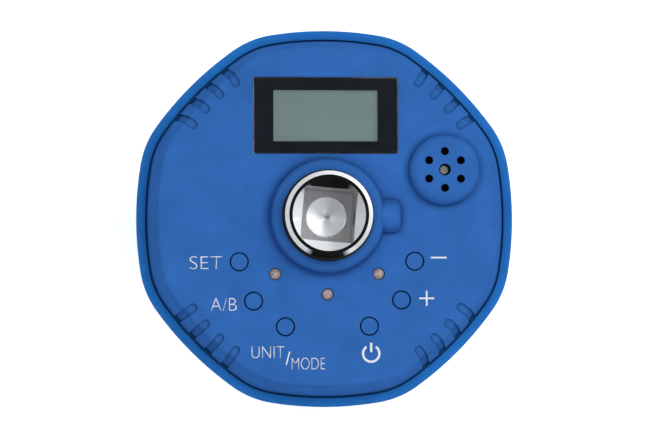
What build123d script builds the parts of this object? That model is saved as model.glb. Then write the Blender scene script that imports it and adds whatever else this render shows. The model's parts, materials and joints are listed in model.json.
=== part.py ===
from build123d import *
import os
from math import cos, radians, sin, sqrt, tan

# Digital torque adapter with a half-inch square drive: a round puck that sits between a
# ratchet and a socket, and shows the torque and angle on its front face.
# Millimetres. Origin on the drive axis at the tip of the male square. +Z runs along the drive
# axis to the female square and the front face, +Y to the top of the display, +X to the right.

# Levels along the drive axis
shoulder_z = 16.0        # face that a socket seats on, and length of the male square
back_z = 19.0            # back face of the housing
floor_z = 21.2           # inside of the back wall
ledge_z = 39.2           # ledge in the rear cover that carries the front cover
rim_z = 40.0             # top of the rim round the front cover
face_z = 53.0            # flat front face
collar_z = 57.5          # top of the collar round the drive end
front_z = 64.0           # mouth of the female square
boss_low_z = 19.5        # where the rear cover's inner bosses grow out of its back wall

# Housing outline: eight bulging sides blended by corner arcs
half_width = 47.5
side_radius = 83.7
corner_radius = 22.8
side_count = 8
back_inset = 1.8         # draft of the rear cover over its depth
draft_top = 36.0         # the wall stands straight from here to the rim
rim_width = 2.3
cover_gap = 0.25         # groove between rim and front cover
cover_lean = 3.2         # how far the front cover's wall leans in over its height
wall = 2.0
rear_wall = 4.4
seal_margin = 0.75       # from the rim's inner wall to the housing seal
seal_width = 0.8
seal_depth = 0.8
seal_clearance = 0.05
rim_round = 0.9
back_round = 2.6
face_round = 1.0

# Drive shaft
square_af = 12.7
socket_af = 12.9
socket_depth = 16.5
socket_corner = 0.9
square_corner = 1.2
recess_radius = 4.9      # drilled recess in the floor of the female square
recess_wall = 0.6
recess_slope = 12.0      # degrees, shallow cone at the bottom of the recess
journal_radius = 10.9
front_radius = 10.6
mouth_radius = 8.8
mouth_slope = 30.0       # degrees from the front face, lead-in round the square
mouth_depth = 1.55
front_chamfer = 1.0
flange_radius = 12.3
waist_radius = 7.5
waist_low, waist_high = 31.0, 43.0
drive_clocking = -5.0    # the squares stand slightly turned against the housing
cross_hole_radius = 2.2  # for a pin, through one wall of the female square
cross_hole_depth = 8.5   # below the mouth
tip_chamfer = 1.0        # at the tip of the male square
turned_radius = 8.25     # the male square's corners are turned down to this

# Spring ball in the male square
ball_radius = 2.2
ball_stand = 0.9         # how far the ball stands out of the square
ball_z = 8.0
ball_clearance = 0.06
detent_depth = 8.0
detent_coil, detent_wire = 1.5, 0.22
detent_turns = 3.0

# Rear bearing and what holds the shaft in it
hub_radius = 13.0
hub_top = 30.0
journal_clearance = 0.06
key_flat = 9.8           # from the axis to the flat that keys the shaft to the housing
key_low, key_high = 25.0, 29.0
key_clearance = 0.05
flange_gap = 0.05        # between the hub and the shaft's flange
flange_top = 32.0
clip_low, clip_high = 17.25, 18.35
clip_inner, clip_outer = 10.02, 12.6
rear_seal_z = 22.0
rear_seal_radius, rear_seal_cord = 10.43, 0.52
front_seal_low, front_seal_high = 54.5, 57.0

# Strain gauges on the shaft's waist
gauge_flat = 6.9         # from the axis to each ground flat
gauge_low, gauge_high = 34.5, 39.5
gauge_width = 4.8
foil = 0.15
flex_width, flex_thickness = 3.0, 0.2
flex_z = 40.1
flex_reach = 21.0

# Collar, bump and buzzer dome on the front cover
collar_base_radius = 14.5
collar_top_radius = 13.6
collar_top_round = 1.7
collar_foot_round = 1.1
collar_bore = 11.2
bump_radius = 4.2
bump_reach = 17.9
bump_round = 1.4
dome_x, dome_y = 28.7, 11.3
dome_radius = 8.8
dome_top_radius = 8.6
dome_height = 3.4
dome_top_round = 2.6
dome_foot_round = 0.6
dome_wall = 1.6
dome_roof = 1.4
grille_circle = 4.5
grille_hole = 1.0
grille_centre_hole = 1.45
buzzer_radius = 6.9
buzzer_port = 1.6
buzzer_port_depth = 1.0
buzzer_core_radius = 1.0
buzzer_core_stand = 0.6  # how far the core stands out of the port
gasket_inner = 5.8
gasket_height = 1.0

# Display
display_x, display_y = -0.35, 24.8
window_width, window_height = 35.8, 19.0
view_width, view_height = 25.7, 12.6
window_thickness = 1.2
window_clearance = 0.1
window_corner = 0.6
window_chamfer = 0.2
window_drop = 0.15       # how far the window sits below the face
mask_thickness = 0.15
mask_gap = 0.02          # film of glue between the window and the mask
lcd_gap = 0.4
lcd_width, lcd_height, lcd_thickness = 33.0, 17.0, 2.0
backlight_width, backlight_height, backlight_thickness = 29.0, 13.0, 1.5
holder_wall = 0.9
connector_half, connector_offset, connector_width = 14.0, 7.2, 1.2

# Buttons and status lights
button_places = {
    "set": (-21.6, -11.2),
    "peak": (-18.1, -20.8),
    "mode": (-10.3, -27.1),
    "power": (10.3, -27.0),
    "plus": (18.2, -20.6),
    "minus": (21.5, -11.1),
}
button_radius = 2.07
button_hole = 2.36
button_flange = 3.0
button_round = 0.25
button_flange_height = 0.5
plunger_radius = 1.7
plunger_root = 0.6       # how far the plunger reaches into the switch
plunger_clearance = 0.12
plunger_top = 50.1
switch_size = 6.0
switch_top = 49.2
switch_well = 1.2
led_places = [(-12.8, -14.2), (0.0, -19.2), (12.6, -14.2)]
led_radius = 1.45
led_hole = 1.52
led_drop = 0.9           # from the face to the middle of the lamp's round end
led_length = 2.4
led_flange, led_flange_height = 0.35, 0.8
lead_offset, lead_width = 1.27, 0.5

# Grip grooves: four on each diagonal corner
groove_inner_radius = 38.7
groove_width = 2.16
groove_depth = 0.5
groove_pitch = 7.1
groove_offsets = (-1.5, -0.5, 0.5, 1.5)
diagonals = (45.0, 135.0, 225.0, 315.0)

# Board and fixings
board_z = 44.0
board_thickness = 1.6
board_radius = 39.5
board_hole = 12.4
housing_screw_places = [(26.6, 26.6), (-26.6, 26.6), (-29.2, -23.9), (29.2, -23.9)]
board_screw_places = [(-35.0, 6.0), (35.0, -4.0), (0.0, -36.5)]
screw_radius = 1.2
screw_hole = 1.6
screw_head, screw_head_low, screw_head_high = 2.7, 24.6, 27.0
screw_end = 43.5
pilot_end = 48.0
hex_key, hex_depth = 1.45, 1.2
counterbore = 3.0
boss_radius = 3.2
post_radius = 2.5
board_screw_radius = 0.8
board_screw_hole = 1.2
board_screw_head, board_screw_head_height = 1.9, 1.3
board_screw_reach = 4.0
slot_half_length, slot_width, slot_depth = 1.4, 0.4, 0.6

# Battery compartment
cell_radius = 5.1
cell_length = 43.5
cell_rows = (-19.4, -29.9)
cell_z = 26.6
tray_half_width = 24.9
tray_top_y, tray_bottom_y = -13.2, -36.0
tray_top_z = 33.0
tray_wall = 0.9
nub_radius, nub_length = 1.9, 0.9
cell_round = 0.4
cell_shift = 1.0         # towards the plate at each cell's plus end
leaf_half, leaf_thickness = 4.0, 0.2
plate_thickness = 0.3
spring_coil, spring_wire, spring_turns = 2.6, 0.25, 3.0
door_half_width = 25.6
door_thickness = 1.6
door_undercut = 1.0      # dovetail on each side of the door
door_clearance = 0.15
door_top_y = -14.2
rib_count = 4
rib_half_length, rib_width, rib_pitch, rib_depth = 7.0, 1.0, 1.8, 0.4
rib_start_y = -39.2

# Rating label on the back
label_width, label_height, label_round, label_y = 34.0, 14.0, 1.5, 29.0
label_depth = 0.3
label_thickness = 0.25

front_wall_z = face_z - wall
board_top = board_z + board_thickness
socket_floor = front_z - socket_depth
dome_ceiling = face_z + dome_height - dome_roof
buzzer_top = dome_ceiling - gasket_height
window_top = face_z - window_drop
window_low = window_top - window_thickness
lcd_top = window_low - lcd_gap
button_flange_top = front_wall_z - 0.02


def polar(radius, angle):
    return Vector(radius * cos(radians(angle)), radius * sin(radians(angle)))


def outline(inset=0.0, z=0.0):
    """Closed face of the housing's outline, moved in by inset."""
    half = 180.0 / side_count
    bulge = side_radius - half_width
    reach = sqrt((side_radius - corner_radius) ** 2 - (bulge * sin(radians(half))) ** 2)
    corner_distance = reach - bulge * cos(radians(half))
    side_centre = Vector(-bulge, 0)
    corner = polar(corner_distance, half)
    tangent = side_centre + (corner - side_centre).normalized() * (side_radius - inset)
    edges = []
    for side in range(side_count):
        turn = side * 2 * half
        low = Vector(tangent.X, -tangent.Y).rotate(Axis.Z, turn)
        high = Vector(tangent.X, tangent.Y).rotate(Axis.Z, turn)
        crown = polar(half_width - inset, turn)
        corner_tip = polar(corner_distance + corner_radius - inset, turn + half)
        following = Vector(tangent.X, -tangent.Y).rotate(Axis.Z, turn + 2 * half)
        edges.append(Edge.make_three_point_arc(low, crown, high))
        edges.append(Edge.make_three_point_arc(high, corner_tip, following))
    return Pos(0, 0, z) * make_face(edges)


def slab(inset, low, high):
    """Straight prism of the housing outline."""
    return extrude(outline(inset, low), high - low)


def cone_slab(inset_low, low, inset_high, high):
    """Housing outline that leans from one inset to another."""
    return loft([outline(inset_low, low), outline(inset_high, high)], ruled=True)


def rod(radius, length):
    """Cylinder that rises from the origin along Z."""
    return Cylinder(radius, length, align=(Align.CENTER, Align.CENTER, Align.MIN))


def disc(radius, low, high, x=0.0, y=0.0):
    """Cylinder along Z between two levels."""
    return Pos(x, y, low) * rod(radius, high - low)


def tube(outer, inner, low, high, x=0.0, y=0.0):
    return disc(outer, low, high, x, y) - disc(inner, low - 1, high + 1, x, y)


def block(x_low, x_high, y_low, y_high, z_low, z_high):
    """Box between given sides."""
    size = (x_high - x_low, y_high - y_low, z_high - z_low)
    place = Pos((x_low + x_high) / 2, (y_low + y_high) / 2, (z_low + z_high) / 2)
    return place * Box(*size)


def plate(width, height, corner, low, high, x=0.0, y=0.0):
    """Flat plate with rounded corners between two levels."""
    return extrude(Pos(x, y, low) * RectangleRounded(width, height, corner), high - low)


def torus(major, minor, z):
    return Pos(0, 0, z) * Torus(major, minor)


def group(pieces):
    return Compound(children=[solid for piece in pieces for solid in piece.solids()])


def edges_at(part, z, inner=0.0, outer=1000.0):
    """Edges at one level whose middle lies between two distances from the axis."""
    found = []
    for edge in part.edges():
        box = edge.bounding_box()
        middle = edge.position_at(0.5)
        distance = sqrt(middle.X ** 2 + middle.Y ** 2)
        if abs(box.min.Z - z) < 1e-3 and abs(box.max.Z - z) < 1e-3 and inner < distance < outer:
            found.append(edge)
    return found


# ---- Front cover ------------------------------------------------------------------------

def cover_block(inset=0.0, drop=0.0):
    """Outer form of the front cover, shrunk by inset on the sides and drop on top."""
    edge = rim_width + cover_gap + inset
    body = cone_slab(edge, ledge_z, edge + cover_lean, face_z - drop)
    return fillet(edges_at(body, face_z - drop), face_round)


def grip_grooves():
    """Grooves that run over the edge of the face and down the leaning wall."""
    core = cover_block(groove_depth, groove_depth)
    strips = []
    for diagonal in diagonals:
        for offset in groove_offsets:
            angle = diagonal + offset * groove_pitch
            start = polar(groove_inner_radius + groove_width / 2, angle)
            strip = disc(groove_width / 2, ledge_z, face_z + 1, start.X, start.Y)
            bar = Pos(5, 0, 0) * Box(10, groove_width, face_z + 1 - ledge_z)
            bar = Pos(start.X, start.Y, (face_z + 1 + ledge_z) / 2) * Rot(0, 0, angle) * bar
            strips.append((strip + bar) - core)
    return strips


def turned_boss(base, top, high, top_round, foot_round, x=0.0, y=0.0):
    """Round boss on the face, with a soft top edge and a soft foot, turned from one profile."""
    reach = base + foot_round + 0.5
    points = [(0, face_z - 1), (reach, face_z - 1), (reach, face_z)]
    points = points + [(base, face_z), (top, high), (0, high)]
    profile = make_face(Polyline(points, close=True))
    foot = [vertex for vertex in profile.vertices() if abs(vertex.X - base) < 1e-6]
    profile = fillet(foot, foot_round)
    edge = [vertex for vertex in profile.vertices() if abs(vertex.X - top) < 1e-6 and vertex.Y > face_z]
    profile = fillet(edge, top_round)
    return Pos(x, y, 0) * revolve(Plane.XZ * profile, Axis.Z)


def collar_solid():
    """Collar round the drive end."""
    return turned_boss(collar_base_radius, collar_top_radius, collar_z,
                       collar_top_round, collar_foot_round)


def bump_solid():
    """Half-round boss on the collar over the drive end's cross hole."""
    root = collar_bore
    bump = Pos(root, 0, face_z) * Rot(0, 90, 0) * rod(bump_radius, bump_reach - root)
    return fillet(bump.edges().sort_by(Axis.X)[-1], bump_round)


def dome_solid():
    """Dome over the buzzer."""
    return turned_boss(dome_radius, dome_top_radius, face_z + dome_height, dome_top_round,
                       dome_foot_round, dome_x, dome_y)


def grille_holes():
    holes = [disc(grille_centre_hole, face_z - 3, face_z + 5, dome_x, dome_y)]
    for index in range(6):
        place = Vector(dome_x, dome_y) + polar(grille_circle, 30 + 60 * index)
        holes.append(disc(grille_hole, face_z - 3, face_z + 5, place.X, place.Y))
    return holes


def make_front_cover():
    cover = cover_block() + collar_solid() + bump_solid() + dome_solid()
    edge = rim_width + cover_gap
    cavity = cone_slab(edge + wall, ledge_z, edge + wall + cover_lean, front_wall_z)
    cover = cover - cavity
    cover = cover + disc(collar_bore + wall, front_wall_z - 3, front_wall_z + 0.5)
    for x, y in housing_screw_places:
        cover = cover + disc(boss_radius, ledge_z - 1, front_wall_z + 0.5, x, y)
    for x, y in board_screw_places:
        cover = cover + disc(post_radius, board_top, front_wall_z + 0.5, x, y)
    cover = cover - grip_grooves()
    cover = cover - disc(collar_bore, ledge_z, front_z)
    cover = cover - disc(dome_radius - dome_wall, face_z - 3, dome_ceiling, dome_x, dome_y)
    cover = cover - grille_holes()
    cover = cover - plate(window_width, window_height, window_corner, face_z - 3, face_z + 1,
                          display_x, display_y)
    for x, y in button_places.values():
        cover = cover - disc(button_hole, face_z - 3, face_z + 1, x, y)
    for x, y in led_places:
        cover = cover - disc(led_hole, face_z - 3, face_z + 1, x, y)
    for x, y in housing_screw_places:
        cover = cover - disc(screw_radius, ledge_z - 2, pilot_end, x, y)
    for x, y in board_screw_places:
        cover = cover - disc(board_screw_radius, board_top - 1, front_wall_z, x, y)
    return cover


# ---- Rear cover -------------------------------------------------------------------------

def door_section(clearance):
    """Dovetail section of the battery door, seen along Y."""
    low, high = back_z, back_z + door_thickness + clearance
    wide = door_half_width + clearance
    narrow = wide - door_undercut
    points = [(-narrow, low), (narrow, low), (wide, high), (-wide, high)]
    return Plane.XZ * make_face(Polyline(points, close=True))


def rear_outer():
    """Outside of the rear cover: drafted wall, rounded back edge and rounded rim."""
    body = cone_slab(back_inset, back_z, 0.0, draft_top) + slab(0.0, draft_top, rim_z)
    body = fillet(edges_at(body, back_z), back_round)
    return fillet(edges_at(body, rim_z), rim_round)


def seal_ring(clearance=0.0):
    """Ring that follows the outline in a groove of the ledge under the front cover."""
    low = ledge_z - seal_depth
    edge = rim_width + seal_margin
    ring = slab(edge - clearance, low, ledge_z) - slab(edge + seal_width + clearance, low, ledge_z)
    return ring


def make_rear_cover(outer):
    cover = outer - slab(rear_wall, floor_z, rim_z + 1)
    cover = cover - slab(rim_width, ledge_z, rim_z + 1)
    cover = cover - seal_ring(seal_clearance)
    cover = cover + disc(hub_radius, back_z, hub_top)
    for x, y in housing_screw_places:
        cover = cover + disc(boss_radius, boss_low_z, ledge_z - 1, x, y)
    cover = cover & outer
    bore = disc(journal_radius + journal_clearance, back_z - 1, hub_top + 1)
    key = block(-hub_radius, -key_flat - key_clearance, -hub_radius, hub_radius, key_low, key_high)
    cover = cover - (bore - key)
    channel = Pos(0, door_top_y, 0) * door_section(door_clearance)
    cover = cover - extrude(channel, half_width, dir=(0, -1, 0))
    cover = cover - block(-tray_half_width, tray_half_width, tray_bottom_y, tray_top_y,
                          back_z, floor_z + 1)
    for x, y in housing_screw_places:
        cover = cover - disc(counterbore, back_z - 1, screw_head_high, x, y)
        cover = cover - disc(screw_hole, screw_head_low, ledge_z, x, y)
    margin = 0.4
    return cover - plate(label_width + margin, label_height + margin, label_round + margin / 2,
                         back_z - 1, back_z + label_depth, 0, label_y)


def make_battery_door(outer):
    section = Pos(0, door_top_y - door_clearance, 0) * door_section(0.0)
    door = extrude(section, half_width, dir=(0, -1, 0)) & outer
    for index in range(rib_count):
        low_y = rib_start_y + index * rib_pitch
        door = door - block(-rib_half_length, rib_half_length, low_y, low_y + rib_width,
                            back_z - 1, back_z + rib_depth)
    return door


# ---- Drive shaft and what is on it --------------------------------------------------------

def square_bar(width, corner, low, high):
    bar = extrude(Pos(0, 0, low) * RectangleRounded(width, width, corner), high - low)
    return Rot(0, 0, drive_clocking) * bar


def shallow_cone(radius, slope, top):
    """Cone with its wide end up at a level, closing to a point below it."""
    depth = radius * tan(radians(slope))
    profile = make_face(Polyline([(0, top - depth), (radius, top), (0, top)], close=True))
    return revolve(Plane.XZ * profile, Axis.Z)


def lead_in():
    """Shallow conical lead-in round the mouth of the female square."""
    narrow = mouth_radius - mouth_depth / tan(radians(mouth_slope))
    return Pos(0, 0, front_z - mouth_depth / 2) * Cone(narrow, mouth_radius, mouth_depth)


def male_square():
    """Male square with turned corners and a chamfered tip."""
    turned = disc(turned_radius, tip_chamfer, shoulder_z + 1)
    tip_radius = turned_radius - tip_chamfer
    turned = turned + Pos(0, 0, tip_chamfer / 2) * Cone(tip_radius, turned_radius, tip_chamfer)
    return square_bar(square_af, square_corner, 0, shoulder_z + 1) & turned


def female_square():
    """Square hole with its lead-in, its drilled floor recess and its cross hole."""
    hole = square_bar(socket_af, socket_corner, socket_floor, front_z + 1)
    hole = hole + disc(recess_radius, socket_floor - recess_wall, socket_floor + 1)
    hole = hole + shallow_cone(recess_radius, recess_slope, socket_floor - recess_wall)
    hole = hole + lead_in()
    cross_hole = Rot(0, 90, 0) * rod(cross_hole_radius, front_radius + 1)
    return hole + Rot(0, 0, drive_clocking) * Pos(0, 0, front_z - cross_hole_depth) * cross_hole


def make_drive_shaft():
    shaft = male_square() + disc(journal_radius, shoulder_z, waist_low)
    shaft = shaft + disc(flange_radius, hub_top + flange_gap, flange_top)
    shaft = shaft + disc(waist_radius, waist_low, waist_high)
    front = disc(front_radius, waist_high - 1, front_z)
    shaft = shaft + chamfer(edges_at(front, front_z), front_chamfer)
    shaft = shaft - female_square()
    shaft = shaft - tube(flange_radius, clip_inner - 0.02, clip_low - 0.05, clip_high + 0.05)
    seal_half = rear_seal_cord + 0.18
    groove_floor = rear_seal_radius - rear_seal_cord - 0.01
    shaft = shaft - tube(flange_radius, groove_floor, rear_seal_z - seal_half, rear_seal_z + seal_half)
    shaft = shaft - block(-flange_radius, -key_flat, -flange_radius, flange_radius,
                          key_low - 0.2, key_high + 0.2)
    shaft = shaft - detent_bore()
    for turn in (0, 90, 180, 270):
        flat = block(gauge_flat, flange_radius, -waist_radius, waist_radius, gauge_low - 1, gauge_high + 1)
        shaft = shaft - Rot(0, 0, turn) * flat
    return shaft


def detent_frame(distance):
    """Place on the detent's axis, at a distance from the drive axis."""
    return Rot(0, 0, drive_clocking) * Pos(distance, 0, ball_z) * Rot(0, 90, 0)


def detent_bore():
    start = square_af / 2 + 1 - detent_depth
    return detent_frame(start) * rod(ball_radius + ball_clearance, detent_depth)


def make_detent_ball():
    return detent_frame(square_af / 2 + ball_stand - ball_radius) * Sphere(ball_radius)


def coil(radius, wire, turns, height):
    """Wire coil that rises from the origin along Z, with a wire of the given radius."""
    path = Helix(height / turns, height, radius)
    section = Plane(origin=path @ 0, z_dir=path % 0) * Circle(wire)
    return sweep(section, path=path, is_frenet=True)


def make_detent_spring():
    start = square_af / 2 + 1 - detent_depth + 0.3
    free = square_af / 2 + ball_stand - 2 * ball_radius - start - 0.3
    return detent_frame(start) * coil(detent_coil, detent_wire, detent_turns, free)


def make_circlip():
    ring = tube(clip_outer, clip_inner, clip_low, clip_high)
    opening = 2.2
    return ring - block(0, clip_outer + 1, -opening, opening, clip_low - 1, clip_high + 1)


# ---- Display, board and controls ----------------------------------------------------------

def window_plate(low, high):
    """Plate that fits the front cover's display opening."""
    slack = 2 * window_clearance
    return plate(window_width - slack, window_height - slack, window_corner - window_clearance,
                 low, high, display_x, display_y)


def make_window():
    window = window_plate(window_low, window_top)
    return chamfer(edges_at(window, window_top), window_chamfer)


def make_window_mask():
    top = window_low - mask_gap
    mask = window_plate(top - mask_thickness, top)
    return mask - plate(view_width, view_height, 0.2, window_low - 1, window_low + 1, display_x, display_y)


def make_lcd_panel():
    return plate(lcd_width, lcd_height, 0.2, lcd_top - lcd_thickness, lcd_top, display_x, display_y)


def make_backlight():
    top = lcd_top - lcd_thickness - 0.05
    return plate(backlight_width, backlight_height, 0.3, top - backlight_thickness, top,
                 display_x, display_y)


def make_lcd_holder():
    """Frame that carries the display panel on the board, open in the middle for the backlight."""
    top = lcd_top - 0.4
    seat = lcd_top - lcd_thickness - 0.02
    outer = 2 * holder_wall
    frame = plate(lcd_width + outer, lcd_height + outer, holder_wall, board_top, top, display_x, display_y)
    frame = frame - plate(lcd_width + 0.1, lcd_height + 0.1, 0.2, seat, top + 1, display_x, display_y)
    half_x = connector_half + 0.6
    half_y = connector_offset + 0.7
    return frame - block(display_x - half_x, display_x + half_x, display_y - half_y, display_y + half_y,
                         board_top - 1, top)


def make_lcd_connectors():
    strips = []
    half = connector_width / 2
    for side in (-1, 1):
        y = display_y + side * connector_offset
        strips.append(block(display_x - connector_half, display_x + connector_half, y - half, y + half,
                            board_top, lcd_top - lcd_thickness - 0.02))
    return group(strips)


def make_main_board():
    board = disc(board_radius, board_z, board_top) - disc(board_hole, board_z - 1, board_top + 1)
    for x, y in housing_screw_places:
        board = board - disc(boss_radius + 0.4, board_z - 1, board_top + 1, x, y)
    for x, y in board_screw_places:
        board = board - disc(board_screw_hole, board_z - 1, board_top + 1, x, y)
    return board


def make_board_chips():
    low = board_z - 1.2
    return group([
        block(-5, 5, -26, -18, low, board_z),
        block(-29, -22, 2, 9, low, board_z),
        block(20, 26, 18, 23, low, board_z),
        block(-24, -20, 17, 21, low, board_z),
    ])


def make_buzzer():
    """Black can of the sounder, with a port over its core."""
    can = disc(buzzer_radius, board_top, buzzer_top, dome_x, dome_y)
    return can - disc(buzzer_port, buzzer_top - buzzer_port_depth, buzzer_top + 1, dome_x, dome_y)


def make_buzzer_core():
    low = buzzer_top - buzzer_port_depth
    return disc(buzzer_core_radius, low, buzzer_top + buzzer_core_stand, dome_x, dome_y)


def make_buzzer_gasket():
    return tube(buzzer_radius, gasket_inner, buzzer_top, dome_ceiling, dome_x, dome_y)


def make_button_cap(x, y):
    cap = disc(button_radius, plunger_top, face_z, x, y)
    cap = fillet(edges_at(cap, face_z), button_round)
    low = button_flange_top - button_flange_height
    return cap + disc(button_flange, low, button_flange_top, x, y)


def make_plunger(x, y):
    return disc(plunger_radius, switch_top - plunger_root, plunger_top, x, y)


def make_switch_bodies():
    bodies = []
    half = switch_size / 2
    for x, y in button_places.values():
        body = block(x - half, x + half, y - half, y + half, board_top, switch_top)
        well = disc(plunger_radius + plunger_clearance, switch_top - switch_well, switch_top + 1, x, y)
        bodies.append(body - well)
    return group(bodies)


def make_status_leds():
    lamps = []
    low = front_wall_z - led_length
    for x, y in led_places:
        lens = disc(led_radius, low, face_z - led_drop, x, y)
        lens = lens + Pos(x, y, face_z - led_drop) * Sphere(led_radius)
        lamps.append(lens + disc(led_radius + led_flange, low, low + led_flange_height, x, y))
    return group(lamps)


def make_led_leads():
    leads = []
    half = lead_width / 2
    for x, y in led_places:
        for side in (-lead_offset, lead_offset):
            leads.append(block(x + side - half, x + side + half, y - half, y + half,
                               board_top, front_wall_z - led_length))
    return group(leads)


# ---- Batteries ----------------------------------------------------------------------------

def make_battery_tray():
    tray_floor = back_z + door_thickness + door_clearance
    tray = block(-tray_half_width, tray_half_width, tray_bottom_y, tray_top_y, tray_floor, tray_top_z)
    inner_half = tray_half_width - tray_wall
    tray = tray - block(-inner_half, inner_half, tray_bottom_y + tray_wall, tray_top_y - tray_wall,
                        tray_floor - 1, tray_top_z - tray_wall)
    return tray & slab(rear_wall + 0.02, floor_z - 1, tray_top_z)


def cell_ends():
    """Each cell's row and the side its plus end points to: the two cells lie head to tail."""
    return zip((1, -1), cell_rows)


def make_battery_cells():
    cells = []
    for direction, y in cell_ends():
        cell = Rot(0, 90, 0) * Cylinder(cell_radius, cell_length)
        cell = fillet(cell.edges(), cell_round)
        nub = Rot(0, 90, 0) * Cylinder(nub_radius, nub_length)
        nub = Pos(direction * (cell_length + nub_length) / 2, 0, 0) * nub
        cells.append(Pos(direction * cell_shift, y, cell_z) * (cell + nub))
    return group(cells)


def contact_leaf(x, y, thickness):
    """Upright contact plate with its middle at x."""
    return block(x - thickness / 2, x + thickness / 2, y - leaf_half, y + leaf_half,
                 cell_z - leaf_half, cell_z + leaf_half)


def make_battery_springs():
    springs = []
    end = tray_half_width - tray_wall
    length = end - leaf_thickness - cell_length / 2 + cell_shift - 2 * spring_wire - 0.1
    for direction, y in cell_ends():
        place = Pos(-direction * (end - leaf_thickness - 0.15), y, cell_z) * Rot(0, direction * 90, 0)
        spring = place * coil(spring_coil, spring_wire, spring_turns, length)
        springs.append(contact_leaf(-direction * (end - leaf_thickness / 2), y, leaf_thickness) + spring)
    return group(springs)


def make_battery_plates():
    x = tray_half_width - tray_wall - plate_thickness / 2
    return group([contact_leaf(direction * x, y, plate_thickness) for direction, y in cell_ends()])


# ---- Fasteners and small parts ------------------------------------------------------------

def make_housing_screws():
    screws = []
    for x, y in housing_screw_places:
        head = disc(screw_head, screw_head_low, screw_head_high, x, y)
        key = Pos(x, y, screw_head_low) * RegularPolygon(hex_key, 6)
        head = head - extrude(key, hex_depth)
        screws.append(head + disc(screw_radius, screw_head_high - 0.2, screw_end, x, y))
    return group(screws)


def make_board_screws():
    screws = []
    low = board_z - board_screw_head_height
    for x, y in board_screw_places:
        head = disc(board_screw_head, low, board_z, x, y)
        head = head - block(x - slot_half_length, x + slot_half_length,
                            y - slot_width / 2, y + slot_width / 2, low - 1, low + slot_depth)
        screws.append(head + disc(board_screw_radius, board_z - 0.2, board_top + board_screw_reach, x, y))
    return group(screws)


def make_strain_gauges():
    half = gauge_width / 2
    pad = block(gauge_flat, gauge_flat + foil, -half, half, gauge_low, gauge_high)
    return group([Rot(0, 0, turn) * pad for turn in (0, 90, 180, 270)])


def make_gauge_flex():
    """Thin strip from a strain gauge to the connector under the board."""
    start = gauge_flat + foil
    half = flex_width / 2
    top = flex_z + flex_thickness
    upright = block(start, start + flex_thickness, -half, half, gauge_low + 1.5, top)
    return upright + block(start, flex_reach, -half, half, flex_z, top)


def make_flex_connector():
    return block(flex_reach - 3, flex_reach + 1, -2.5, 2.5, flex_z + flex_thickness, board_z)


def make_rating_label():
    low = back_z + label_depth - label_thickness
    return plate(label_width, label_height, label_round, low, back_z + label_depth, 0, label_y)


def make_nodes():
    """Every piece, by the name of its node."""
    outer = rear_outer()
    nodes = {
        "front_cover": make_front_cover(),
        "rear_cover": make_rear_cover(outer),
        "battery_door": make_battery_door(outer),
        "drive_shaft": make_drive_shaft(),
        "detent_ball": make_detent_ball(),
        "detent_spring": make_detent_spring(),
        "shaft_circlip": make_circlip(),
        "housing_seal": seal_ring(),
        "rear_seal": torus(rear_seal_radius, rear_seal_cord, rear_seal_z),
        "front_seal": tube(collar_bore, front_radius, front_seal_low, front_seal_high),
        "display_window": make_window(),
        "window_mask": make_window_mask(),
        "lcd_panel": make_lcd_panel(),
        "lcd_holder": make_lcd_holder(),
        "backlight": make_backlight(),
        "lcd_connectors": make_lcd_connectors(),
        "main_board": make_main_board(),
        "board_chips": make_board_chips(),
        "buzzer": make_buzzer(),
        "buzzer_core": make_buzzer_core(),
        "buzzer_gasket": make_buzzer_gasket(),
        "switch_bodies": make_switch_bodies(),
        "status_leds": make_status_leds(),
        "led_leads": make_led_leads(),
        "battery_tray": make_battery_tray(),
        "battery_cells": make_battery_cells(),
        "battery_springs": make_battery_springs(),
        "battery_plates": make_battery_plates(),
        "housing_screws": make_housing_screws(),
        "board_screws": make_board_screws(),
        "strain_gauges": make_strain_gauges(),
        "gauge_flex": make_gauge_flex(),
        "flex_connector": make_flex_connector(),
        "rating_label": make_rating_label(),
    }
    for name, (x, y) in button_places.items():
        nodes[name + "_button"] = make_button_cap(x, y)
        nodes[name + "_plunger"] = make_plunger(x, y)
    return nodes


os.makedirs("parts", exist_ok=True)
for node_name, piece in make_nodes().items():
    export_step(piece, f"parts/{node_name}.step")
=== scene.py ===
import json
from math import cos, pi, radians, sin, tan

import bmesh
import bpy
from mathutils import Matrix, Vector


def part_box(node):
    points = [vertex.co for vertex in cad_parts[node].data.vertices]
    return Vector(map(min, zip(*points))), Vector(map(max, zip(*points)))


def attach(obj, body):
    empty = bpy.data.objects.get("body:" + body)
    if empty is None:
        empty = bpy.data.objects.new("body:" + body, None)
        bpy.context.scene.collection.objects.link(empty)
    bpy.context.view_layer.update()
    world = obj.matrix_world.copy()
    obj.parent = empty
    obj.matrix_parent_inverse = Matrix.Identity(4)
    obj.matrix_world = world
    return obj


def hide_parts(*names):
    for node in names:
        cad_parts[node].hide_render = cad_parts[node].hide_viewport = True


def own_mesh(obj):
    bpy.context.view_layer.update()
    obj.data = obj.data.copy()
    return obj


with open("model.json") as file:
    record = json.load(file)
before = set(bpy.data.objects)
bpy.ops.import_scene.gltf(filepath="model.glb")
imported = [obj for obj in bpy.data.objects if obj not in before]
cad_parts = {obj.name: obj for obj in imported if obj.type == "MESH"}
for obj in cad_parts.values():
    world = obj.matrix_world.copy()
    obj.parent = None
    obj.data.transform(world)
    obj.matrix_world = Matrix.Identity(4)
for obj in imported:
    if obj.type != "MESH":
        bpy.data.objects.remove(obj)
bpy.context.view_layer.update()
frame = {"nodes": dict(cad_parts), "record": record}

# Digital torque adapter seen straight at its display face. Metres, in the frame's own axes:
# +Z along the drive axis towards the viewer, +Y to the top of the display.

MM = 0.001
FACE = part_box("set_button")[1].z
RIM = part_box("rear_cover")[1].z
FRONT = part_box("drive_shaft")[1].z
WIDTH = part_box("rear_cover")[1].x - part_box("rear_cover")[0].x

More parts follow.
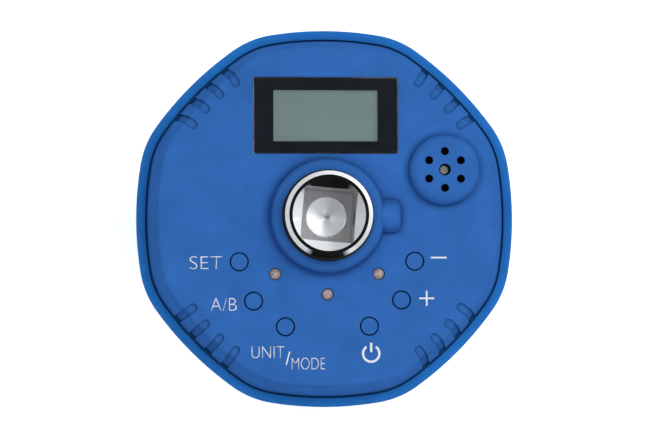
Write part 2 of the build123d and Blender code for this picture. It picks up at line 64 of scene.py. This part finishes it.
# The drive end's square hole, whose look changes towards its floor
SQUARE_REACH = 9.3 * MM                 # just past the corners of the square
SQUARE_FLOOR = FRONT - 16.5 * MM
DRILL_RADIUS = 4.85 * MM                # the drilled dimple in the floor


# ---- Node helpers -----------------------------------------------------------------------

class Shader:
    """A material's node tree with short calls for the nodes used here."""

    def __init__(self, name):
        self.material = bpy.data.materials.new(name)
        self.material.use_nodes = True
        self.tree = self.material.node_tree
        self.surface = self.tree.nodes["Principled BSDF"]
        self.place = self.tree.nodes.new("ShaderNodeTexCoord").outputs["Object"]

    def link(self, start, end):
        self.tree.links.new(start, end)

    def node(self, kind, **values):
        made = self.tree.nodes.new(kind)
        for key, value in values.items():
            if isinstance(value, bpy.types.NodeSocket):
                self.link(value, made.inputs[key])
            elif key in made.inputs:
                made.inputs[key].default_value = value
            else:
                setattr(made, key, value)
        return made

    def noise(self, size, detail=3.0, rough=0.5, stretch=(1, 1, 1)):
        """Noise with features of the given size in metres."""
        scaled = self.node("ShaderNodeMapping", Vector=self.place, Scale=stretch)
        made = self.node("ShaderNodeTexNoise", Vector=scaled.outputs[0], Scale=1 / size,
                         Detail=detail, Roughness=rough)
        return made.outputs["Fac"]

    def ramp(self, value, low, high, out_low=0.0, out_high=1.0):
        made = self.node("ShaderNodeMapRange", Value=value)
        made.inputs["From Min"].default_value = low
        made.inputs["From Max"].default_value = high
        made.inputs["To Min"].default_value = out_low
        made.inputs["To Max"].default_value = out_high
        return made.outputs[0]

    def math(self, operation, first, second=0.0):
        made = self.node("ShaderNodeMath", operation=operation)
        for socket, value in zip(made.inputs, (first, second)):
            if isinstance(value, bpy.types.NodeSocket):
                self.link(value, socket)
            else:
                socket.default_value = value
        return made.outputs[0]

    def mix(self, factor, first, second):
        """Colour between first and second."""
        made = self.node("ShaderNodeMix", data_type="RGBA")
        for socket, value in ((made.inputs[0], factor), (made.inputs[6], first), (made.inputs[7], second)):
            if isinstance(value, bpy.types.NodeSocket):
                self.link(value, socket)
            else:
                socket.default_value = value
        return made.outputs[2]

    def bump(self, height, distance, normal=None):
        made = self.node("ShaderNodeBump", Height=height, Distance=distance, Strength=1.0)
        if normal is not None:
            self.link(normal, made.inputs["Normal"])
        return made.outputs[0]

    def occlusion(self, distance):
        """How open the surface is to its surroundings: low in creases and at the foot of bosses."""
        return self.node("ShaderNodeAmbientOcclusion", Distance=distance, samples=8).outputs["AO"]

    def set(self, **values):
        for key, value in values.items():
            socket = self.surface.inputs[key.replace("_", " ")]
            if isinstance(value, bpy.types.NodeSocket):
                self.link(value, socket)
            else:
                socket.default_value = value
        return self

    def axis(self, letter):
        """One coordinate of the shared frame, in metres."""
        return self.node("ShaderNodeSeparateXYZ", Vector=self.place).outputs[letter]

    def radius(self):
        """Distance from the drive axis, in metres."""
        across = self.math("POWER", self.axis("X"), 2.0)
        along = self.math("POWER", self.axis("Y"), 2.0)
        return self.math("SQRT", self.math("ADD", across, along))


def linear(red, green, blue):
    """sRGB 0-255 to the renderer's linear colour."""
    values = []
    for channel in (red, green, blue):
        c = channel / 255
        values.append(c / 12.92 if c < 0.04045 else ((c + 0.055) / 1.055) ** 2.4)
    return (*values, 1.0)


def tone(colour, factor, lift=0.0):
    """The colour made lighter or darker."""
    return (*(min(1, channel * factor + lift) for channel in colour[:3]), 1)


# ---- Materials ------------------------------------------------------------------------------

def moulded(name, colour, grain=0.28 * MM, depth=0.012 * MM, rough=0.5):
    """Moulded plastic with a fine spark-eroded grain, faint mottling and painted shade in its creases and
    at the foot of bosses.

    It has no specular part: the white floor would turn the cover's leaning wall grey.
    """
    shader = Shader(name)
    cloud = shader.noise(9 * MM, 4, 0.6)
    speck = shader.noise(0.5 * MM, 2)
    light = tone(colour, 1.10)
    shade = shader.mix(shader.ramp(cloud, 0.3, 0.7), tone(colour, 0.90), light)
    shade = shader.mix(shader.ramp(speck, 0.25, 0.8, 0, 0.25), shade, light)
    # Painted shade: the colour darkens to 0.38 of itself where ambient occlusion finds creases, gaps and
    # the foot of bosses.
    painted_shade_in_creases = shader.ramp(shader.occlusion(2.0 * MM), 0.25, 0.97)
    shade = shader.mix(painted_shade_in_creases, tone(colour, 0.38), shade)
    rub = shader.noise(14 * MM, 5, 0.65)
    finish = shader.ramp(rub, 0.35, 0.7, rough - 0.06, rough + 0.08)
    fine = shader.noise(grain, 2, 0.6)
    coarse = shader.noise(grain * 3.5, 2, 0.5)
    height = shader.math("ADD", fine, shader.math("MULTIPLY", coarse, 0.8))
    normal = shader.bump(height, depth)
    return shader.set(Base_Color=shade, Roughness=finish, Specular_IOR_Level=0.0,
                      Normal=normal).material


def chrome_plate(name):
    """Bright chrome plate outside, rough forged steel low in the square hole with painted shade where its
    floor meets the walls, satin in its dimple.
    """
    shader = Shader(name)
    radius = shader.radius()
    height = shader.axis("Z")
    inside = shader.math("LESS_THAN", radius, SQUARE_REACH)
    deep = shader.ramp(height, SQUARE_FLOOR - 0.4 * MM, SQUARE_FLOOR + 0.6 * MM, 1.0, 0.0)
    above = shader.math("GREATER_THAN", height, SQUARE_FLOOR - 3.5 * MM)
    around = shader.ramp(radius, DRILL_RADIUS, DRILL_RADIUS + 0.25 * MM)
    cast = shader.math("MULTIPLY", shader.math("MULTIPLY", inside, deep), above)
    cast = shader.math("MULTIPLY", cast, around)
    blotch = shader.noise(0.9 * MM, 4, 0.6)
    forged_colour_and_shade = shader.mix(blotch, linear(188, 188, 188), linear(244, 243, 240))
    # Painted shade: the forged floor of the hole darkens to grey where ambient occlusion finds its corners
    # with the walls.
    painted_shade_at_walls = shader.ramp(shader.occlusion(0.8 * MM), 0.25, 0.85)
    forged_colour_and_shade = shader.mix(painted_shade_at_walls, linear(70, 70, 72), forged_colour_and_shade)
    smear = shader.noise(3 * MM, 3, 0.5)
    bright = shader.mix(smear, linear(230, 232, 236), linear(240, 241, 244))
    base = shader.mix(cast, bright, forged_colour_and_shade)
    polish = shader.ramp(shader.noise(2.2 * MM, 5, 0.7), 0.3, 0.75, 0.02, 0.06)
    dull = shader.math("MULTIPLY", cast, 0.5)
    dimple = shader.math("LESS_THAN", radius, DRILL_RADIUS)
    satin = shader.math("MULTIPLY", shader.math("MULTIPLY", dimple, deep), 0.22)
    rough = shader.math("ADD", shader.math("ADD", polish, dull), satin)
    ripple = shader.noise(1.6 * MM, 3, 0.5)
    pits = shader.math("MULTIPLY", shader.noise(0.35 * MM, 3, 0.6), cast)
    normal = shader.bump(pits, 0.10 * MM)
    normal = shader.bump(ripple, 0.004 * MM, normal=normal)
    return shader.set(Base_Color=base, Metallic=1.0, Roughness=rough, Normal=normal).material


def steel(name, colour, rough):
    """Bare or plated steel with fine drawn lines."""
    shader = Shader(name)
    lines = shader.noise(0.15 * MM, 3, 0.6, stretch=(1, 1, 6))
    shade = shader.mix(lines, tone(colour, 0.85), colour)
    finish = shader.ramp(lines, 0.3, 0.7, rough - 0.07, rough + 0.08)
    normal = shader.bump(lines, 0.004 * MM)
    return shader.set(Base_Color=shade, Metallic=1.0, Roughness=finish, Normal=normal).material


def rubber(name, colour, grain=0.2 * MM):
    """Dull rubber or foam with a dusty, uneven tone."""
    shader = Shader(name)
    dust = shader.noise(1.5 * MM, 4, 0.6)
    shade = shader.mix(dust, colour, tone(colour, 1.8, 0.004))
    normal = shader.bump(shader.noise(grain, 2), 0.01 * MM)
    return shader.set(Base_Color=shade, Roughness=0.62, Normal=normal).material


def gloss(name, colour, rough, specular=0.5):
    """Smooth plastic, film or print with faint wipe marks."""
    shader = Shader(name)
    wipe = shader.noise(6 * MM, 4, 0.6, stretch=(1, 3, 1))
    shade = shader.mix(wipe, tone(colour, 0.9), colour)
    finish = shader.ramp(wipe, 0.3, 0.7, rough, rough + 0.04)
    normal = shader.bump(shader.noise(4 * MM, 2), 0.001 * MM)
    return shader.set(Base_Color=shade, Roughness=finish, Specular_IOR_Level=specular,
                      Normal=normal).material


def clear_acrylic(name):
    """Clear window with wipe marks in its polish."""
    shader = Shader(name)
    wipe = shader.noise(7 * MM, 4, 0.6, stretch=(1, 2, 1))
    finish = shader.ramp(wipe, 0.3, 0.7, 0.01, 0.05)
    return shader.set(Base_Color=(0.97, 0.98, 0.98, 1), Roughness=finish,
                      Transmission_Weight=1.0, IOR=1.49).material


def liquid_crystal(name):
    """Blank grey-green display glass with a faint cell grid and an uneven tone."""
    shader = Shader(name)
    cloud = shader.noise(16 * MM, 3, 0.5)
    shade = shader.mix(cloud, linear(114, 134, 132), linear(128, 148, 146))
    grain = shader.noise(0.35 * MM, 2, 0.6)
    shade = shader.mix(shader.ramp(grain, 0.3, 0.7, 0, 0.22), shade, linear(142, 162, 159))
    return shader.set(Base_Color=shade, Roughness=0.28).material


def lamp_lens(name):
    """Milky lamp lens: warm white body with small facets under the surface."""
    shader = Shader(name)
    cells = shader.node("ShaderNodeTexVoronoi", Vector=shader.place, Scale=1 / (0.55 * MM))
    facets = shader.ramp(cells.outputs["Distance"], 0.1, 0.7)
    shade = shader.mix(facets, linear(206, 194, 190), linear(158, 140, 142))
    normal = shader.bump(cells.outputs["Distance"], 0.03 * MM)
    return shader.set(Base_Color=shade, Roughness=0.22, Subsurface_Weight=0.15,
                      Subsurface_Radius=(1.2 * MM, 0.7 * MM, 0.6 * MM), Normal=normal).material


def circuit_board(name):
    """Green solder mask with a tracery of copper under it."""
    shader = Shader(name)
    brick = shader.node("ShaderNodeTexBrick", Vector=shader.place, Scale=1 / (3 * MM))
    brick.inputs["Mortar Size"].default_value = 0.05
    tracks = brick.outputs["Fac"]
    shade = shader.mix(tracks, linear(14, 82, 44), linear(42, 128, 70))
    normal = shader.bump(tracks, 0.02 * MM)
    return shader.set(Base_Color=shade, Roughness=0.28, Normal=normal).material


def label_film(name):
    """Blank silver film with a fine brushed sheen."""
    shader = Shader(name)
    lines = shader.noise(0.12 * MM, 2, 0.6, stretch=(0.05, 1, 1))
    shade = shader.mix(lines, linear(176, 178, 180), linear(206, 208, 210))
    return shader.set(Base_Color=shade, Metallic=0.6, Roughness=0.38,
                      Normal=shader.bump(lines, 0.002 * MM)).material


COVER_BLUE = linear(54, 109, 187)
# The rim blue is more saturated than the cover blue, and lighter as painted light: it makes up for the
# weaker light falling on the rim's rounded band.
RIM_BLUE = linear(45, 123, 205)
finishes = {
    "cover_plastic": moulded("cover_plastic_look", COVER_BLUE),
    "rim_plastic": moulded("rim_plastic_look", RIM_BLUE, grain=0.24 * MM, rough=0.46),
    "button_plastic": moulded("button_plastic_look", COVER_BLUE, grain=0.2 * MM, depth=0.006 * MM,
                              rough=0.42),
    "chrome": chrome_plate("chrome_look"),
    "ball_steel": steel("ball_steel_look", linear(205, 205, 208), 0.16),
    "spring_steel": steel("spring_steel_look", linear(190, 192, 194), 0.3),
    "black_steel": steel("black_steel_look", linear(40, 40, 43), 0.42),
    "seal_rubber": rubber("seal_rubber_look", linear(18, 18, 22)),
    "window_acrylic": clear_acrylic("window_acrylic_look"),
    "mask_black": gloss("mask_black_look", linear(25, 29, 37), 0.42, specular=0.05),
    "lcd_glass": liquid_crystal("lcd_glass_look"),
    "light_guide": gloss("light_guide_look", linear(228, 230, 226), 0.4),
    "elastomer": rubber("elastomer_look", linear(190, 130, 140)),
    "board_green": circuit_board("board_green_look"),
    "chip_black": moulded("chip_black_look", linear(28, 28, 30), rough=0.6),
    "buzzer_metal": steel("buzzer_metal_look", linear(196, 192, 184), 0.34),
    "foam": rubber("foam_look", linear(26, 26, 28), grain=0.5 * MM),
    "black_plastic": moulded("black_plastic_look", linear(30, 30, 33), rough=0.52),
    "led_lens": lamp_lens("led_lens_look"),
    "lead_metal": steel("lead_metal_look", linear(200, 200, 202), 0.25),
    "cell_jacket": gloss("cell_jacket_look", linear(40, 42, 50), 0.2),
    "screw_zinc": steel("screw_zinc_look", linear(186, 188, 184), 0.32),
    "gauge_foil": gloss("gauge_foil_look", linear(186, 118, 44), 0.3),
    "connector_white": moulded("connector_white_look", linear(222, 216, 200)),
    "label_blank": label_film("label_blank_look"),
    "plunger_plastic": moulded("plunger_plastic_look", linear(34, 34, 36), rough=0.45),
}
slots = {entry["node"]: entry["material_slot"] for entry in frame["record"]["subparts"]}
for name, thing in frame["nodes"].items():
    for holder in thing.material_slots:
        holder.material = finishes[slots[name]]


# ---- Detent spring ---------------------------------------------------------------------------

def make_detent_coil():
    """A copy of the ball's return spring, fixed to the housing in place of the original."""
    node = frame["nodes"]["detent_spring"]
    piece = bpy.data.objects.new("detent_coil", node.data.copy())
    bpy.context.collection.objects.link(piece)
    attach(piece, "housing")
    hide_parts("detent_spring")
    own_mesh(piece)


make_detent_coil()


# ---- Legends ---------------------------------------------------------------------------------

def printed(name):
    """White pad print: a thin ink film with slightly uneven cover."""
    shader = Shader(name)
    cover = shader.noise(0.25 * MM, 3, 0.6)
    shade = shader.mix(shader.ramp(cover, 0.35, 0.7), linear(218, 230, 246), linear(246, 249, 253))
    return shader.set(Base_Color=shade, Roughness=0.5, Normal=shader.bump(cover, 0.004 * MM)).material


INK = printed("legend_ink_look")
INK_BASE = FACE - 0.01 * MM
INK_TOP = FACE + 0.03 * MM
STROKE = 0.42 * MM
THINNER = -0.018                        # thins the font's strokes, in font units

# Words by the buttons: name, text, button, then in mm the place of the word's right edge or middle
# seen from the button (across, up), its cap height and its width
WORDS = [
    ("legend_set", "SET", "set_button", -4.2, -0.2, 3.2, 8.0, "RIGHT"),
    ("legend_ab", "A/B", "peak_button", -4.1, -0.8, 3.2, 6.4, "RIGHT"),
    ("legend_unit", "UNIT", "mode_button", -4.3, -6.2, 2.9, 8.0, "CENTER"),
    ("legend_mode", "MODE", "mode_button", 5.6, -9.0, 2.9, 8.2, "CENTER"),
]


def beside(button, across, up):
    """Place on the face seen from a button's middle, with the offsets in mm."""
    low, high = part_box(button)
    middle = (low + high) / 2
    return middle.x + across * MM, middle.y + up * MM


def prism(name, outlines):
    """Flat ink shapes, each a list of (x, y) points, raised a little from the face."""
    mesh = bpy.data.meshes.new(name)
    work = bmesh.new()
    for points in outlines:
        low = [work.verts.new((x, y, INK_BASE)) for x, y in points]
        high = [work.verts.new((x, y, INK_TOP)) for x, y in points]
        work.faces.new(high)
        work.faces.new(list(reversed(low)))
        for index in range(len(points)):
            after = (index + 1) % len(points)
            work.faces.new((low[index], low[after], high[after], high[index]))
    bmesh.ops.recalc_face_normals(work, faces=work.faces)
    work.to_mesh(mesh)
    work.free()
    piece = bpy.data.objects.new(name, mesh)
    bpy.context.collection.objects.link(piece)
    mesh.materials.append(INK)
    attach(piece, "housing")


def bar(x, y, length, width, turn=0.0):
    """Outline of a straight stroke about a centre."""
    along = Vector((cos(turn), sin(turn))) * length / 2
    across = Vector((-sin(turn), cos(turn))) * width / 2
    corners = (along - across, along + across, -along + across, -along - across)
    return [(x + corner.x, y + corner.y) for corner in corners]


def arc_band(x, y, radius, width, start, end):
    """Outline of a round stroke between two angles in degrees."""
    steps = 40
    outer, inner = [], []
    for index in range(steps + 1):
        angle = radians(start + (end - start) * index / steps)
        outer.append((x + (radius + width / 2) * cos(angle), y + (radius + width / 2) * sin(angle)))
        inner.append((x + (radius - width / 2) * cos(angle), y + (radius - width / 2) * sin(angle)))
    return outer + list(reversed(inner))


def lettering(name, text, x, y, height, width, align):
    """Text as raised ink, scaled to a cap height and width.

    Its right edge or its middle is at x, and its middle height at y.
    """
    curve = bpy.data.curves.new(name + "_curve", "FONT")
    curve.body = text
    curve.offset = THINNER
    holder = bpy.data.objects.new(name + "_curve", curve)
    bpy.context.collection.objects.link(holder)
    graph = bpy.context.evaluated_depsgraph_get()
    mesh = bpy.data.meshes.new_from_object(holder.evaluated_get(graph))
    bpy.data.objects.remove(holder)
    low = Vector((min(v.co.x for v in mesh.vertices), min(v.co.y for v in mesh.vertices)))
    high = Vector((max(v.co.x for v in mesh.vertices), max(v.co.y for v in mesh.vertices)))
    scale_x, scale_y = width / (high.x - low.x), height / (high.y - low.y)
    left = {"RIGHT": x - width, "CENTER": x - width / 2}[align]
    for vertex in mesh.vertices:
        vertex.co.x = left + (vertex.co.x - low.x) * scale_x
        vertex.co.y = y - height / 2 + (vertex.co.y - low.y) * scale_y
        vertex.co.z = INK_BASE
    work = bmesh.new()
    work.from_mesh(mesh)
    bmesh.ops.remove_doubles(work, verts=work.verts, dist=1e-7)
    raised = bmesh.ops.extrude_face_region(work, geom=work.faces[:])
    for item in raised["geom"]:
        if isinstance(item, bmesh.types.BMVert):
            item.co.z = INK_TOP
    bmesh.ops.recalc_face_normals(work, faces=work.faces)
    work.to_mesh(mesh)
    work.free()
    mesh.name = name
    mesh.materials.clear()
    mesh.materials.append(INK)
    piece = bpy.data.objects.new(name, mesh)
    bpy.context.collection.objects.link(piece)
    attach(piece, "housing")


def make_power_sign():
    """Open ring with a stem in its gap."""
    ring_x, ring_y = beside("power_button", 0.4, -6.7)
    stem_x, stem_y = beside("power_button", 0.4, -5.2)
    bold = STROKE * 1.35
    top, gap = 90, 35
    ring = arc_band(ring_x, ring_y, 2.0 * MM, bold, top + gap, top + 360 - gap)
    prism("legend_power", [ring, bar(stem_x, stem_y, 2.3 * MM, bold, pi / 2)])


def make_plus_sign():
    """Cross as one outline, so that its arms don't overlap."""
    x, y = beside("plus_button", 6.2, 0.4)
    side = 3.7 * MM / 2
    half = STROKE / 2
    plus = [(-side, -half), (-half, -half), (-half, -side), (half, -side), (half, -half), (side, -half),
            (side, half), (half, half), (half, side), (-half, side), (-half, half), (-side, half)]
    prism("legend_plus", [[(x + dx, y + dy) for dx, dy in plus]])


def make_legends():
    for name, text, button, across, up, height, width, align in WORDS:
        x, y = beside(button, across, up)
        lettering(name, text, x, y, height * MM, width * MM, align)
    x, y = beside("mode_button", 0.6, -7.7)
    prism("legend_slash", [bar(x, y, 3.4 * MM, STROKE * 0.8, radians(75))])
    make_power_sign()
    make_plus_sign()
    x, y = beside("minus_button", 5.9, 0.9)
    prism("legend_minus", [bar(x, y, 3.9 * MM, STROKE)])


make_legends()


# ---- Floor, light and camera -------------------------------------------------------------------

def make_floor():
    """White paper sheet just under the part, bright enough to stay white round it."""
    mesh = bpy.data.meshes.new("floor")
    half = 3.0
    corners = [(-half, -half, 0), (half, -half, 0), (half, half, 0), (-half, half, 0)]
    mesh.from_pydata(corners, [], [(0, 1, 2, 3)])
    floor = bpy.data.objects.new("floor", mesh)
    bpy.context.collection.objects.link(floor)
    shader = Shader("floor_look")
    paper = shader.noise(0.4, 3)
    shade = shader.mix(paper, linear(240, 240, 241), linear(246, 246, 247))
    shader.set(Base_Color=shade, Roughness=0.8, Emission_Color=(1, 1, 1, 1), Emission_Strength=0.62)
    mesh.materials.append(shader.material)
    floor.location.z = -0.02 * MM


def softbox(name, azimuth, elevation, distance, size, power, mirrored=True):
    """Square soft light aimed at the housing. Azimuth is counted from +X towards +Y."""
    light = bpy.data.lights.new(name, "AREA")
    light.size = size
    light.energy = power
    holder = bpy.data.objects.new(name, light)
    bpy.context.collection.objects.link(holder)
    a, e = radians(azimuth), radians(elevation)
    direction = Vector((cos(e) * cos(a), cos(e) * sin(a), sin(e)))
    holder.location = Vector((0, 0, RIM)) + direction * distance
    holder.rotation_euler = direction.to_track_quat("Z", "Y").to_euler()
    holder.visible_camera = False
    holder.visible_glossy = mirrored


def world_ramp(tree, value, stops):
    """Grey level that follows a value through (position, level) stops."""
    ramp = tree.nodes.new("ShaderNodeValToRGB")
    tree.links.new(value, ramp.inputs[0])
    ends = ramp.color_ramp.elements
    ends[0].position, ends[1].position = stops[0][0], stops[-1][0]
    for position, _ in stops[1:-1]:
        ends.new(position)
    for stop, (_, level) in zip(ends, stops):
        stop.color = (level, level, level, 1)
    return ramp.outputs[0]


def tent_level(tree, split, axis, stops):
    """Grey level along one axis, with places from -1 to 1."""
    shift = tree.nodes.new("ShaderNodeMapRange")
    shift.inputs["From Min"].default_value = -1.0
    tree.links.new(split.outputs[axis], shift.inputs["Value"])
    return world_ramp(tree, shift.outputs[0], [((place + 1) / 2, level) for place, level in stops])


def combine(tree, operation, levels):
    """One grey level from several, by a plain operation."""
    total = levels[0]
    for level in levels[1:]:
        joined = tree.nodes.new("ShaderNodeMath")
        joined.operation = operation
        tree.links.new(total, joined.inputs[0])
        tree.links.new(level, joined.inputs[1])
        total = joined.outputs[0]
    return total


# Brightness of the surround along each axis, from one side (-1) to the other (1)
TENT = {
    "Z": [(-1.0, 0.9), (0.1, 0.95), (0.945, 0.95), (0.97, 0.03), (1.0, 0.012)],
    "X": [(-1.0, 0.66), (-0.12, 0.72), (0.12, 1.0), (1.0, 1.15)],
    "Y": [(-0.95, 0.01), (-0.70, 0.012), (-0.45, 0.75), (0.2, 1.0), (1.0, 0.95)],
}
# The dark front is narrow near the horizon: here the surround is bright at both sides of it
LOW_BAND = {
    "X": [(-0.55, 0.8), (-0.38, 0.0), (0.38, 0.0), (0.55, 0.95)],
    "Z": [(-1.0, 0.9), (0.14, 0.95), (0.24, 0.0), (1.0, 0.0)],
}


def make_world():
    """Light tent seen in reflections only: bright walls, dark overhead for the lens and in front."""
    world = bpy.data.worlds.new("studio")
    bpy.context.scene.world = world
    world.use_nodes = True
    tree = world.node_tree
    back = tree.nodes["Background"]
    place = tree.nodes.new("ShaderNodeTexCoord")
    split = tree.nodes.new("ShaderNodeSeparateXYZ")
    tree.links.new(place.outputs["Generated"], split.inputs[0])
    walls = combine(tree, "MULTIPLY", [tent_level(tree, split, axis, TENT[axis]) for axis in "XYZ"])
    band = combine(tree, "MULTIPLY", [tent_level(tree, split, axis, LOW_BAND[axis]) for axis in "XZ"])
    tree.links.new(combine(tree, "MAXIMUM", [walls, band]), back.inputs["Strength"])
    back.inputs["Color"].default_value = (0.97, 0.985, 1.0, 1)
    world.cycles_visibility.diffuse = False


def make_camera():
    """Long lens, nearly straight above the face, a little to the left and below the axis."""
    data = bpy.data.cameras.new("camera")
    camera = bpy.data.objects.new("camera", data)
    bpy.context.collection.objects.link(camera)
    data.sensor_width = 36.0
    data.lens = 110.0
    lean_x, lean_y = radians(2.5), radians(2.3)
    housing_share = 0.58                # of the picture's width
    aim_up = 0.43 * MM
    distance = WIDTH / housing_share * data.lens / data.sensor_width
    offset = Vector((-tan(lean_x), -tan(lean_y), 1)).normalized() * distance
    camera.location = Vector((0, aim_up, RIM)) + offset
    ahead = -offset.normalized()
    up = Vector((1, 0, 0)).cross(ahead).normalized()
    right = ahead.cross(up).normalized()
    camera.rotation_mode = "QUATERNION"
    camera.rotation_quaternion = Matrix((right, up, -ahead)).transposed().to_quaternion()
    data.dof.use_dof = False
    data.clip_start, data.clip_end = 0.01, 20
    bpy.context.scene.camera = camera


def make_lights():
    """A key light that the chrome mirrors, and four soft lights that nothing mirrors.

    None of them is overhead, where a light would veil the window.
    """
    softbox("key_light", azimuth=30, elevation=50, distance=1.0, size=0.7, power=2.0)
    sides = (("right_rear", 45, 3.5), ("left_rear", 135, 3.2),
             ("left_front", 225, 3.0), ("right_front", 315, 3.3))
    for side, azimuth, power in sides:
        softbox("soft_" + side, azimuth, elevation=60, distance=1.2, size=0.6, power=power,
                mirrored=False)


make_floor()
make_world()
make_lights()
make_camera()
bpy.context.scene.view_settings.view_transform = "Standard"
